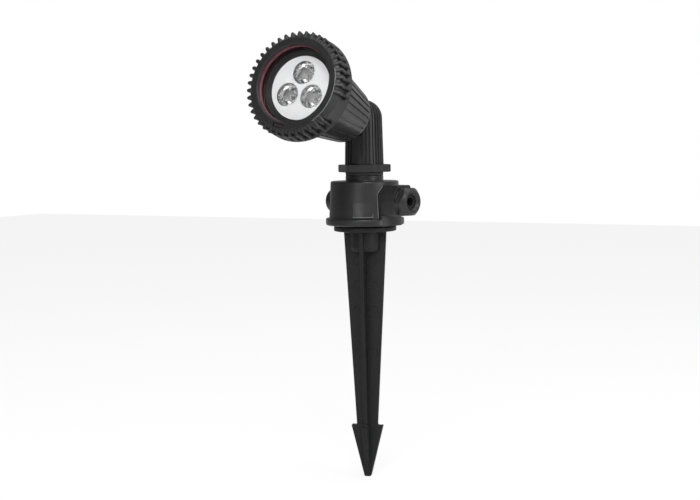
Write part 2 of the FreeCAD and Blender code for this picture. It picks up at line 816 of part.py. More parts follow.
# ------------------------------------------------------------------ lamp body
def body_groove():
    """One groove of the ribbed cone, drawn over its run-out at the back."""
    back = body_back + rib_plain_back
    deep = rib_groove_deep
    return turned([(cone_r(back), back), (cone_r(back + rib_runout) - deep, back + rib_runout),
                   (cone_r(ring_back) - deep, ring_back), (cone_r(ring_back) + 4, ring_back),
                   (cone_r(back) + 4, back)], rib_groove_angle)


def lamp_body():
    """Ribbed cone with the thread for the front ring and the seats of what it holds."""
    flare = ring_back - thread_flare / 2
    shell = turned([(0, body_back), (body_back_r, body_back, body_back_edge),
                    (cone_r(flare), flare), (thread_r, flare + thread_flare),
                    (thread_r, body_front, 0.5), (mouth_r, body_front),
                    (mouth_r, cup_front), (cup_r + seat_gap, cup_back + cup_floor),
                    (cup_r + seat_gap, cup_back), (cavity_front_r, cup_back),
                    (cavity_back_r, cavity_floor), (0, cavity_floor)])
    shell = bored(shell, *around(body_groove(), rib_count, rib_groove_at))
    hole = rod(hub_screw_r + seat_gap, body_back, cavity_floor).fuse(
        rod(hub_screw_head_r + seat_gap, hub_screw_seat, cavity_floor))
    lead = rod(lead_bore_r, body_back, cavity_floor, y=head_drop - lead_drop)
    return bored(shell, lead, *hub_screw_places(hole))


parts["lamp_body"] = aimed(lamp_body())


# ------------------------------------------------------------------ driver
def driver_case():
    """Round cup that stands on the lamp body's back wall."""
    front = cavity_floor + case_len
    cup = turned([(0, cavity_floor), (case_r, cavity_floor, 0.6), (case_r, front),
                  (case_r - case_wall, front), (case_r - case_wall, cavity_floor + case_wall),
                  (0, cavity_floor + case_wall)])
    return bored(cup, rod(lead_bore_r, cavity_floor, cavity_floor + case_wall,
                          y=head_drop - lead_drop))


def driver_board():
    low = cavity_floor + case_wall
    top = -driver_drop
    return block(-driver_w / 2, driver_w / 2, top - driver_t, top, low, low + driver_l)


def driver_parts():
    """Coil block and capacitor, seated on the driver's board."""
    low = cavity_floor + case_wall
    coil = block(-coil_side / 2, coil_side / 2, -driver_drop, coil_h - driver_drop,
                 low + 4, low + 4 + coil_side)
    cap = rod(cap_r, low + driver_l - cap_l - 3, low + driver_l - 3, y=cap_r - driver_drop)
    return Part.makeCompound([coil, cap])


parts["driver_case"] = aimed(driver_case())
parts["driver_board"] = aimed(driver_board())
parts["driver_parts"] = aimed(driver_parts())


# ------------------------------------------------------------------ light unit
def lens_places(shape):
    """Copies of an upright shape at the three lenses: top, left, right."""
    return ringed(shape, 3, lens_ring, 90 + lens_turn)


def board_screw_places(shape):
    return ringed(shape, 3, board_screw_ring, 90 + lens_turn + 60)


def heat_cup():
    """Metal cup on the lamp body's ledge, which carries the board and the white plate."""
    inner = cup_r - cup_wall
    cup = turned([(0, cup_back), (cup_r, cup_back), (cup_r, cup_front), (inner, cup_front),
                  (inner, pad_back), (0, pad_back)])
    hole = rod(board_screw_r + seat_gap / 3, board_front - board_screw_len, pad_back)
    return bored(cup, *board_screw_places(hole))


def led_disc(z0, z1):
    hole = rod(board_screw_r + seat_gap, z0, z1)
    return bored(rod(board_r, z0, z1), *board_screw_places(hole))


def board_screw():
    head = rod(board_screw_head_r, board_front, board_front + board_screw_head_t)
    top = board_front + board_screw_head_t
    cross = turned([(0, top), (1.0, top), (0, top - 1.0)])
    return join(head, rod(board_screw_r, board_front - board_screw_len, board_front)).cut(cross)


def led_emitter():
    """Square package with a clear dome."""
    half = led_side / 2
    top = board_front + led_base_t
    dome = Part.makeSphere(led_dome_r, FreeCAD.Vector(0, 0, top), AXIS, 0, 90, 360)
    return join(block(-half, half, -half, half, board_front, top), dome)


def lens():
    """Collimator: dished face, lip under the white plate, curved flank down to the board."""
    lip_back = cup_front - lens_lip_t
    front = baffle_back - lens_recess
    flank = []
    steps = 4
    for i in range(steps + 1):
        share = i / steps
        flank.append((lens_foot_r + (lens_r - lens_foot_r) * math.sin(share * math.pi / 2),
                      board_front + (lip_back - board_front) * share ** 1.25))
    return turned([(lens_well_r, board_front)] + flank +
                  [(lens_lip_r, lip_back), (lens_lip_r, cup_front), (lens_r, cup_front),
                   (lens_r, front), (lens_r - 0.5, front), (0, front - lens_dish),
                   (0, board_front + lens_well), (lens_well_r, board_front + lens_well)])


def lens_plate():
    """White disc with a hole for each lens."""
    hole = rod(lens_r + seat_gap / 3, cup_front, baffle_back)
    return bored(rod(cup_r, cup_front, baffle_back), *lens_places(hole))


parts["heat_cup"] = aimed(heat_cup())
parts["thermal_pad"] = aimed(led_disc(pad_back, board_back))
parts["led_board"] = aimed(led_disc(board_back, board_front))
parts["led_emitters"] = aimed(Part.makeCompound(lens_places(led_emitter())))
parts["board_screws"] = aimed(Part.makeCompound(board_screw_places(board_screw())))
for name, piece in zip(("lens_top", "lens_left", "lens_right"), lens_places(lens())):
    parts[name] = aimed(piece)
parts["lens_plate"] = aimed(lens_plate())
parts["inner_baffle"] = aimed(turned([
    (baffle_low_r, baffle_back), (mouth_r - seat_gap, baffle_back),
    (mouth_r - seat_gap, body_front), (baffle_top_r, body_front)]))

# ------------------------------------------------------------------ glass, gasket and ring
gasket_r = ring_thread_r - slide_gap
parts["cover_glass"] = aimed(rod(glass_r, glass_back, glass_front))
parts["glass_gasket"] = aimed(turned([
    (gasket_bore_r, body_front), (gasket_r, body_front), (gasket_r, gasket_front),
    (gasket_bore_r, gasket_front), (gasket_bore_r, glass_front),
    (glass_r, glass_front), (glass_r, glass_back), (gasket_bore_r, glass_back)]))


def bead():
    """One grip rib: along the ring's side, round its corner and over the shoulder to the rim."""
    run = ring_side_r - ring_face_r
    rise = ring_shoulder - bead_drop
    length = math.hypot(run, rise)
    slope = FreeCAD.Vector(-run / length, 0, rise / length)
    outward = FreeCAD.Vector(slope.z, 0, -slope.x)
    axis_r = ring_side_r - bead_r
    start = FreeCAD.Vector(axis_r - bead_fall, 0, ring_back)
    crest = FreeCAD.Vector(ring_face_r, 0, ring_front - bead_drop)
    end = crest - outward * bead_r + slope * bead_drop
    corner = end - slope * ((axis_r - end.x) / -slope.x)
    along = (corner - start).normalize()
    upright = FreeCAD.Vector(along.z, 0, -along.x)
    foot = upright - along * (upright.z / along.z)
    mitre = upright - along * (upright.dot(slope) / (1 + along.dot(slope)))
    rings = []
    for centre, side in ((start, foot), (corner, mitre), (end, outward)):
        ring = []
        for i in range(bead_sides):
            turn = 2 * math.pi * (i + 0.5) / bead_sides
            across = FreeCAD.Vector(0, bead_r * math.sin(turn), 0)
            ring.append(centre + side * (bead_r * math.cos(turn)) + across)
        rings.append(Part.makePolygon(ring + ring[:1]))
    return Part.makeLoft(rings, True, True)


def grip_panel():
    """Plain panel in the place of a few ribs, as high as their crests."""
    pitch = 360.0 / bead_count
    panel = turned([(ring_thread_r, ring_back), (ring_side_r - panel_drop - bead_fall, ring_back),
                    (ring_side_r - panel_drop, ring_corner - ring_edge),
                    (ring_face_r, ring_front - bead_drop),
                    (ring_thread_r, ring_front - bead_drop)], pitch * panel_beads - 2 * panel_gap)
    return spun(panel, bead_at + pitch * (panel_from + (panel_beads - 1) / 2))


def front_ring():
    """Screw ring: grip ribs, plain flat face, drain window and the thread's bore."""
    valley_r = ring_side_r - bead_proud
    core = turned([(ring_thread_r - 2, ring_back), (valley_r - ring_edge, ring_back),
                   (valley_r, ring_back + ring_edge), (valley_r, ring_corner - ring_edge),
                   (ring_face_r, ring_front - valley_step), (ring_face_r, ring_front - ring_rim),
                   (ring_face_r - ring_rim, ring_front), (ring_bore_r + ring_edge, ring_front),
                   (ring_bore_r, ring_front - ring_edge), (ring_bore_r, ring_corner - 1),
                   (ring_thread_r - 2, ring_corner - 1)])
    ribs = around(bead(), bead_count, bead_at)
    del ribs[panel_from:panel_from + panel_beads]
    ring = join(core, grip_panel(), *ribs)
    bore = rod(ring_thread_r, ring_back, gasket_front)
    drain = block(drain_r - drain_h / 2, drain_r + drain_h / 2, -drain_w / 2, drain_w / 2,
                  gasket_front, ring_front)
    return bored(ring, bore, spun(drain, drain_at))


parts["front_ring"] = aimed(front_ring())

# ------------------------------------------------------------------ files
os.makedirs("parts", exist_ok=True)
for name, shape in parts.items():
    solids = shape.Solids
    if not shape.isValid() or not solids:
        print("CHECK", name, "valid:", shape.isValid(), "solids:", len(solids))
    shape.exportStep("parts/" + name + ".step")
    print("%-16s %2d solids  %9.1f mm3" % (name, len(solids), sum(s.Volume for s in solids)))
print(len(parts), "pieces")
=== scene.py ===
"""Garden spike spotlight: finishes, fine pieces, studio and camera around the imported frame.

The frame of the solids is in metres: the origin is on the post's axis at ground level, +Z is up
and the lamp faces -Y. The classes of fine pieces hold millimetres and degrees instead. Bearings
are degrees from -Y toward +X.
"""
import json
import logging
import math
from dataclasses import dataclass, field
from enum import Enum
from typing import Any, Callable, Dict, Iterable, List, Optional, Sequence, Tuple

import bmesh
import bpy
from mathutils import Matrix, Vector

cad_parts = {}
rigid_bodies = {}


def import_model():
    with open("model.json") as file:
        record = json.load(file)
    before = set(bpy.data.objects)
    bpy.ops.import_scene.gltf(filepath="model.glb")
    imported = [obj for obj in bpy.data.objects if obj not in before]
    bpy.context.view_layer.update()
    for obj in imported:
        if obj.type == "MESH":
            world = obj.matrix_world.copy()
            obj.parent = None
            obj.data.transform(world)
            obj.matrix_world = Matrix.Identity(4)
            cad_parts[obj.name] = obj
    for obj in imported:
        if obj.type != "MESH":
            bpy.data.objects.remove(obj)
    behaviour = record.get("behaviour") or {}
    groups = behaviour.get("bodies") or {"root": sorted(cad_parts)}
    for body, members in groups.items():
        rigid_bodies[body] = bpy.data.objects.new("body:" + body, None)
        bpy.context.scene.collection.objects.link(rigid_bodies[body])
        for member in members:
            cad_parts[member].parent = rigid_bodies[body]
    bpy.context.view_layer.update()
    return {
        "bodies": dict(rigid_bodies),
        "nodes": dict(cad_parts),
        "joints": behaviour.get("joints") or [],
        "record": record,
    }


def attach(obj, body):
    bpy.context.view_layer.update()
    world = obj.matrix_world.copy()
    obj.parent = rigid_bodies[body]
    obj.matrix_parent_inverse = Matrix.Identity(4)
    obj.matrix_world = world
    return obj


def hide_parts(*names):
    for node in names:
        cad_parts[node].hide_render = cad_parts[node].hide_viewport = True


LOG = logging.getLogger("spike_spotlight")
MM = 0.001
UP = Vector((0.0, 0.0, 1.0))
WHITE = (1.0, 1.0, 1.0, 1.0)
Triple = Tuple[float, float, float]
Colour = Triple
Place = Callable[[float, float, float], Vector]
Profile = Sequence[Tuple[float, float]]
Loop = Sequence[bmesh.types.BMVert]


class Body(Enum):
    """Rigid bodies that carry fine pieces."""

    BOX = "spike_and_box"
    LAMP = "lamp"
    RING = "front_ring"


class Slot(Enum):
    """Material slots of the solids."""

    HOUSING = "housing"
    SPIKE = "spike"
    SEAL = "seal_black"
    GASKET = "gasket_red"
    GLASS = "glass"
    LENS = "lens"
    PLATE = "plate_white"
    BAFFLE = "baffle_black"
    SCREW = "screw_steel"
    BRASS = "brass"
    TERMINAL = "terminal_plastic"
    HEAT_METAL = "heat_metal"
    PAD = "pad_grey"
    BOARD = "board_green"
    DRIVER = "driver_dark"


# --------------------------------------------------------------------------- node sheets
class NodeSheet:
    """Short-hand for building the nodes of one material or of the surroundings."""

    def __init__(self, owner: Any, output: str = "ShaderNodeOutputMaterial") -> None:
        """Start an empty sheet of nodes.

        Args:
            owner: The new material or world.
            output: The type name of its output node.
        """
        self.owner = owner
        self.owner.use_nodes = True
        self.tree = self.owner.node_tree
        self.tree.nodes.clear()
        self.output = self.add(output)

    def add(self, kind: str, **settings: Any) -> bpy.types.Node:
        """Add a node.

        Args:
            kind: The node's type name.
            **settings: Attributes of the node.

        Returns:
            The new node.
        """
        node = self.tree.nodes.new(kind)
        for key, value in settings.items():
            setattr(node, key, value)
        return node

    def lobe(self, kind: str, **constants: Any) -> bpy.types.Node:
        """Add a shader node with constants set on its own sockets.

        Args:
            kind: The node's type name.
            **constants: Values by socket name, with _ for each space.

        Returns:
            The new node.
        """
        node = self.add(kind)
        for key, value in constants.items():
            node.inputs[key.replace("_", " ")].default_value = value
        return node

    def link(self, out: Any, into: Any) -> None:
        """Join an output socket to an input socket."""
        self.tree.links.new(out, into)

    def place(self) -> Any:
        """Return the object coordinates, in metres of the frame."""
        return self.add("ShaderNodeTexCoord").outputs["Object"]

    def stretched(self, scale: Triple) -> Any:
        """Scale the object coordinates.

        Args:
            scale: Features per metre along X, Y and Z.

        Returns:
            The scaled coordinates' socket.
        """
        mapping = self.add("ShaderNodeMapping")
        mapping.inputs["Scale"].default_value = scale
        self.link(self.place(), mapping.inputs["Vector"])
        return mapping.outputs["Vector"]

    def noise(self, scale: float, detail: float = 3.0, rough: float = 0.5,
              where: Optional[Any] = None) -> Any:
        """Add a noise pattern.

        Args:
            scale: Features per metre.
            detail: Octaves.
            rough: Weight of the finer octaves.
            where: Coordinates, or None for the plain frame.

        Returns:
            The noise's value socket.
        """
        node = self.add("ShaderNodeTexNoise")
        node.inputs["Scale"].default_value = scale
        node.inputs["Detail"].default_value = detail
        node.inputs["Roughness"].default_value = rough
        self.link(where if where is not None else self.place(), node.inputs["Vector"])
        return node.outputs["Fac"]

    def span(self, value: Any, low: float, high: float, start: float, end: float) -> Any:
        """Map a value onto a range, clamped.

        Args:
            value: The value's socket.
            low: The result at start.
            high: The result at end.
            start: The value that gives low.
            end: The value that gives high.

        Returns:
            The result's socket.
        """
        node = self.add("ShaderNodeMapRange")
        node.inputs["From Min"].default_value = start
        node.inputs["From Max"].default_value = end
        node.inputs["To Min"].default_value = low
        node.inputs["To Max"].default_value = high
        self.link(value, node.inputs["Value"])
        return node.outputs["Result"]

    def maths(self, operation: str, first: Any, second: Any) -> Any:
        """Combine two values.

        Args:
            operation: The maths node's operation.
            first: A socket or a number.
            second: A socket or a number.

        Returns:
            The result's socket.
        """
        node = self.add("ShaderNodeMath", operation=operation)
        for socket, value in zip(node.inputs, (first, second)):
            if isinstance(value, (int, float)):
                socket.default_value = value
            else:
                self.link(value, socket)
        return node.outputs["Value"]

    def blend(self, share: Any, first: Colour, second: Colour) -> Any:
        """Mix two colours.

        Args:
            share: The socket that gives the second colour's share.
            first: The colour at 0.
            second: The colour at 1.

        Returns:
            The mixed colour's socket.
        """
        node = self.add("ShaderNodeMix", data_type="RGBA")
        self.link(share, node.inputs["Factor"])
        node.inputs["A"].default_value = (*first, 1.0)
        node.inputs["B"].default_value = (*second, 1.0)
        return node.outputs["Result"]

    def bump(self, height: Any, strength: float, depth: float, onto: Optional[Any] = None) -> Any:
        """Add a bumped normal.

        Args:
            height: The height socket.
            strength: Share of the effect.
            depth: Height in metres of a step from 0 to 1.
            onto: A normal to add to, or None.

        Returns:
            The normal socket.
        """
        node = self.add("ShaderNodeBump")
        node.inputs["Strength"].default_value = strength
        node.inputs["Distance"].default_value = depth
        self.link(height, node.inputs["Height"])
        if onto is not None:
            self.link(onto, node.inputs["Normal"])
        return node.outputs["Normal"]

    def soft_edge(self, radius: float) -> Any:
        """Add a normal that rounds hard edges.

        Args:
            radius: The rounding in metres.

        Returns:
            The normal socket.
        """
        node = self.add("ShaderNodeBevel", samples=4)
        node.inputs["Radius"].default_value = radius
        return node.outputs["Normal"]

    def shader(self, **constants: Any) -> bpy.types.Node:
        """Make the surface a principled shader.

        Args:
            **constants: Values by socket name, with _ for each space.

        Returns:
            The shader's node.
        """
        node = self.lobe("ShaderNodeBsdfPrincipled", **constants)
        self.link(node.outputs["BSDF"], self.output.inputs["Surface"])
        return node

    def mixed(self, share: Any, first: Any, second: Any) -> None:
        """Make the surface a mix of two shaders.

        Args:
            share: The socket that gives the second shader's share.
            first: The first shader's socket.
            second: The second shader's socket.
        """
        mix = self.add("ShaderNodeMixShader")
        self.link(share, mix.inputs["Fac"])
        self.link(first, mix.inputs[1])
        self.link(second, mix.inputs[2])
        self.link(mix.outputs["Shader"], self.output.inputs["Surface"])


# --------------------------------------------------------------------------- finishes
@dataclass(frozen=True)
class MouldedPlastic:
    """Spark-eroded moulded plastic with soft edges, faint flow marks and handling marks."""

    name: str
    dark: Colour
    light: Colour
    rough_low: float = 0.3
    rough_high: float = 0.42
    specular: float = 0.36
    flow: Triple = (60.0, 60.0, 18.0)
    flow_share: float = 0.65
    speck: float = 420.0
    speck_share: float = 0.35
    haze: float = 95.0
    edge: float = 0.0005
    swell: float = 70.0
    swell_depth: float = 0.0004
    grain: float = 2600.0
    grain_depth: float = 0.00003

    def build(self) -> bpy.types.Material:
        """Build the material.

        Returns:
            The finished material.
        """
        sheet = NodeSheet(bpy.data.materials.new(self.name))
        shader = sheet.shader(Specular_IOR_Level=self.specular)
        flow = sheet.noise(1.0, detail=4.0, rough=0.55, where=sheet.stretched(self.flow))
        speck = sheet.noise(self.speck, detail=5.0, rough=0.6)
        tone = sheet.maths("ADD",
                           sheet.span(flow, 0.0, self.flow_share, start=0.32, end=0.68),
                           sheet.span(speck, 0.0, self.speck_share, start=0.45, end=0.75))
        sheet.link(sheet.blend(tone, self.dark, self.light), shader.inputs["Base Color"])
        haze = sheet.noise(self.haze, detail=4.0, rough=0.6)
        sheet.link(sheet.span(haze, self.rough_low, self.rough_high, start=0.3, end=0.7),
                   shader.inputs["Roughness"])
        edges = sheet.soft_edge(self.edge)
        swell = sheet.bump(sheet.noise(self.swell, detail=1.0), 0.25, self.swell_depth, edges)
        grain = sheet.noise(self.grain, detail=2.0, rough=0.6)
        sheet.link(sheet.bump(grain, 0.35, self.grain_depth, swell), shader.inputs["Normal"])
        return sheet.owner


@dataclass(frozen=True)
class DustyMatt:
    """Rubber, silicone or a dark film of painted shade: matt, with a dusty bloom."""

    name: str
    dark: Colour
    light: Colour
    roughness: float = 0.55
    smoother: float = 0.08
    rougher: float = 0.1
    bloom: float = 240.0
    tooth: float = 1800.0
    tooth_depth: float = 0.00003
    edge: float = 0.00025

    def build(self) -> bpy.types.Material:
        """Build the material.

        Returns:
            The finished material.
        """
        sheet = NodeSheet(bpy.data.materials.new(self.name))
        shader = sheet.shader(Specular_IOR_Level=0.4)
        bloom = sheet.noise(self.bloom, detail=5.0, rough=0.65)
        tone = sheet.span(bloom, 0.0, 1.0, start=0.35, end=0.7)
        sheet.link(sheet.blend(tone, self.dark, self.light), shader.inputs["Base Color"])
        sheet.link(sheet.span(bloom, self.roughness - self.smoother,
                              self.roughness + self.rougher, start=0.35, end=0.7),
                   shader.inputs["Roughness"])
        tooth = sheet.noise(self.tooth, detail=2.0)
        sheet.link(sheet.bump(tooth, 0.3, self.tooth_depth, sheet.soft_edge(self.edge)),
                   shader.inputs["Normal"])
        return sheet.owner


@dataclass(frozen=True)
class Metal:
    """Turned or drawn metal with fine lines along one direction."""

    name: str
    dark: Colour
    light: Colour
    roughness: float = 0.32
    smoother: float = 0.06
    rougher: float = 0.1
    lines: Triple = (900.0, 900.0, 60.0)
    line_depth: float = 0.00002
    edge: float = 0.0002

    def build(self) -> bpy.types.Material:
        """Build the material.

        Returns:
            The finished material.
        """
        sheet = NodeSheet(bpy.data.materials.new(self.name))
        shader = sheet.shader(Metallic=1.0)
        lines = sheet.noise(1.0, rough=0.6, where=sheet.stretched(self.lines))
        tone = sheet.span(lines, 0.0, 1.0, start=0.35, end=0.65)
        sheet.link(sheet.blend(tone, self.dark, self.light), shader.inputs["Base Color"])
        sheet.link(sheet.span(lines, self.roughness - self.smoother,
                              self.roughness + self.rougher, start=0.3, end=0.7),
                   shader.inputs["Roughness"])
        sheet.link(sheet.bump(lines, 0.2, self.line_depth, sheet.soft_edge(self.edge)),
                   shader.inputs["Normal"])
        return sheet.owner


@dataclass(frozen=True)
class WhiteDisc:
    """Matt white moulding round the lenses, with a very fine tooth."""

    name: str
    dark: Colour = (0.86, 0.87, 0.88)
    light: Colour = (0.94, 0.94, 0.94)
    rough_low: float = 0.42
    rough_high: float = 0.55
    drift: float = 90.0
    tooth: float = 2400.0
    tooth_depth: float = 0.00002
    edge: float = 0.0002

    def build(self) -> bpy.types.Material:
        """Build the material.

        Returns:
            The finished material.
        """
        sheet = NodeSheet(bpy.data.materials.new(self.name))
        shader = sheet.shader(Specular_IOR_Level=0.35)
        drift = sheet.noise(self.drift, detail=4.0)
        tone = sheet.span(drift, 0.0, 1.0, start=0.3, end=0.7)
        sheet.link(sheet.blend(tone, self.dark, self.light), shader.inputs["Base Color"])
        sheet.link(sheet.span(drift, self.rough_low, self.rough_high, start=0.3, end=0.7),
                   shader.inputs["Roughness"])
        tooth = sheet.noise(self.tooth, detail=2.0)
        sheet.link(sheet.bump(tooth, 0.2, self.tooth_depth, sheet.soft_edge(self.edge)),
                   shader.inputs["Normal"])
        return sheet.owner


@dataclass(frozen=True)
class CoverPane:
    """Clear flat glass that lets the light unit be lit straight through it."""

    name: str
    tint: Colour = (0.985, 0.985, 0.985)
    refraction: float = 1.45
    roughness: float = 0.03
    film: float = 140.0
    film_low: float = 0.7

    def build(self) -> bpy.types.Material:
        """Build the material.

        Returns:
            The finished material.
        """
        sheet = NodeSheet(bpy.data.materials.new(self.name))
        clear = sheet.lobe("ShaderNodeBsdfTransparent", Color=(*self.tint, 1.0))
        shine = sheet.lobe("ShaderNodeBsdfGlossy", Roughness=self.roughness)
        fresnel = sheet.lobe("ShaderNodeFresnel", IOR=self.refraction)
        film = sheet.noise(self.film, detail=4.0, rough=0.6)
        share = sheet.maths("MULTIPLY", fresnel.outputs["Fac"],
                            sheet.span(film, self.film_low, 1.0, start=0.3, end=0.7))
        sheet.mixed(share, clear.outputs["BSDF"], shine.outputs["BSDF"])
        return sheet.owner


@dataclass(frozen=True)
class ClearLens:
    """Polished clear moulding with faint ripples."""

    name: str
    dark: Colour = (0.78, 0.78, 0.785)
    light: Colour = (0.86, 0.86, 0.86)
    refraction: float = 1.49
    roughness: float = 0.16
    tint: float = 200.0
    ripple: float = 700.0
    ripple_depth: float = 0.00005

    def build(self) -> bpy.types.Material:
        """Build the material.

        Returns:
            The finished material.
        """
        sheet = NodeSheet(bpy.data.materials.new(self.name))
        shader = sheet.shader(Roughness=self.roughness, IOR=self.refraction,
                              Transmission_Weight=1.0)
        sheet.link(sheet.blend(sheet.noise(self.tint, detail=2.0), self.dark, self.light),
                   shader.inputs["Base Color"])
        ripple = sheet.noise(self.ripple, detail=2.0)
        sheet.link(sheet.bump(ripple, 0.3, self.ripple_depth), shader.inputs["Normal"])
        return sheet.owner


class Finishes:
    """All the finishes of the light, each built once."""

    def __init__(self) -> None:
        """Build every finish."""
        self.housing = MouldedPlastic("housing_charcoal", (0.0085, 0.0086, 0.0088),
                                      (0.0150, 0.0152, 0.0155)).build()
        self.spike = MouldedPlastic("spike_charcoal", (0.0072, 0.0073, 0.0075),
                                    (0.0122, 0.0124, 0.0127), rough_low=0.42,
                                    rough_high=0.55, specular=0.2,
                                    flow=(90.0, 90.0, 12.0)).build()
        self.baffle = MouldedPlastic("baffle_black", (0.005, 0.005, 0.0052),
                                     (0.009, 0.009, 0.0095), rough_low=0.5,
                                     rough_high=0.65, specular=0.2).build()
        self.seal = DustyMatt("seal_black", (0.026, 0.026, 0.0265), (0.044, 0.044, 0.0445),
                              roughness=0.62).build()
        self.gasket = DustyMatt("gasket_dark_red", (0.045, 0.008, 0.013),
                                (0.08, 0.018, 0.027), roughness=0.45).build()
        # A dark brown film: painted shade on the gasket where it sits recessed behind the drain
        # window.
        self.window_shade = DustyMatt("drain_window_painted_shade", (0.012, 0.007, 0.007),
                              (0.03, 0.014, 0.015), roughness=0.7).build()
        # Far darker than the seal material: black rubber with painted shade inside the gland
        # nut's bore.
        self.gland_core_shaded = DustyMatt("gland_core_black_painted_shade", (0.003, 0.003, 0.0032),
                                    (0.006, 0.006, 0.0063), roughness=0.8).build()
        # A pale, glossy copy of the housing plastic: painted highlight for the bright edge lines
        # on the ring's face rim, the boss's left edge and the catch's lip.
        self.edge = MouldedPlastic("housing_painted_highlight_edge", (0.075, 0.0755, 0.076),
                                   (0.16, 0.161, 0.162), rough_low=0.2,
                                   rough_high=0.3, specular=0.6).build()
        # A lighter copy of the gasket's red: painted highlight along the bead at the gasket's
        # bore.
        self.gasket_highlight = DustyMatt("gasket_painted_highlight_red", (0.085, 0.036, 0.042),
                                    (0.14, 0.065, 0.072), roughness=0.3).build()
        self.white = WhiteDisc("lens_disc_white").build()
        self.pane = CoverPane("cover_pane_clear").build()
        self.lens = ClearLens("lens_clear").build()
        self.phosphor = DustyMatt("led_phosphor_yellow", (0.6, 0.53, 0.3), (0.7, 0.63, 0.4),
                                  roughness=0.5).build()
        self.steel = Metal("screw_steel", (0.42, 0.42, 0.41), (0.62, 0.61, 0.6)).build()
        self.brass = Metal("terminal_brass", (0.62, 0.47, 0.2), (0.8, 0.64, 0.34)).build()
        self.aluminium = Metal("heat_cup_aluminium", (0.62, 0.63, 0.65), (0.8, 0.8, 0.81),
                               roughness=0.38).build()
        self.natural = MouldedPlastic("terminal_natural", (0.62, 0.61, 0.57),
                                      (0.75, 0.74, 0.7)).build()
        self.pad = DustyMatt("heat_pad_grey", (0.36, 0.37, 0.4), (0.48, 0.49, 0.5)).build()
        self.green = MouldedPlastic("driver_board_green", (0.015, 0.11, 0.045),
                                    (0.03, 0.17, 0.07), rough_low=0.25,
                                    rough_high=0.35).build()
        self.dark_parts = MouldedPlastic("driver_parts_dark", (0.02, 0.02, 0.03),
                                         (0.05, 0.05, 0.06)).build()
        self.by_slot: Dict[Slot, bpy.types.Material] = {
            Slot.HOUSING: self.housing, Slot.SPIKE: self.spike, Slot.SEAL: self.seal,
            Slot.GASKET: self.gasket, Slot.GLASS: self.pane, Slot.LENS: self.lens,
            Slot.PLATE: self.white, Slot.BAFFLE: self.baffle, Slot.SCREW: self.steel,
            Slot.BRASS: self.brass, Slot.TERMINAL: self.natural,
            Slot.HEAT_METAL: self.aluminium, Slot.PAD: self.pad, Slot.BOARD: self.green,
            Slot.DRIVER: self.dark_parts}


# --------------------------------------------------------------------------- solids
@dataclass
class Solids:
    """The solids of the frame, which keep their shape and get their finish here."""

    frame: Dict[str, Any]
    finishes: Finishes
    own: Dict[str, bpy.types.Material]

    def dress(self) -> None:
        """Give each solid its own finish, or else the finish of its slot."""
        slots = {part["node"]: part["material_slot"] for part in self.frame["record"]["subparts"]}
        for node, obj in self.frame["nodes"].items():
            material = self.own.get(node, self.finishes.by_slot[Slot(slots[node])])
            obj.data.materials.clear()
            obj.data.materials.append(material)
            LOG.info("solid %s: %s", node, material.name)


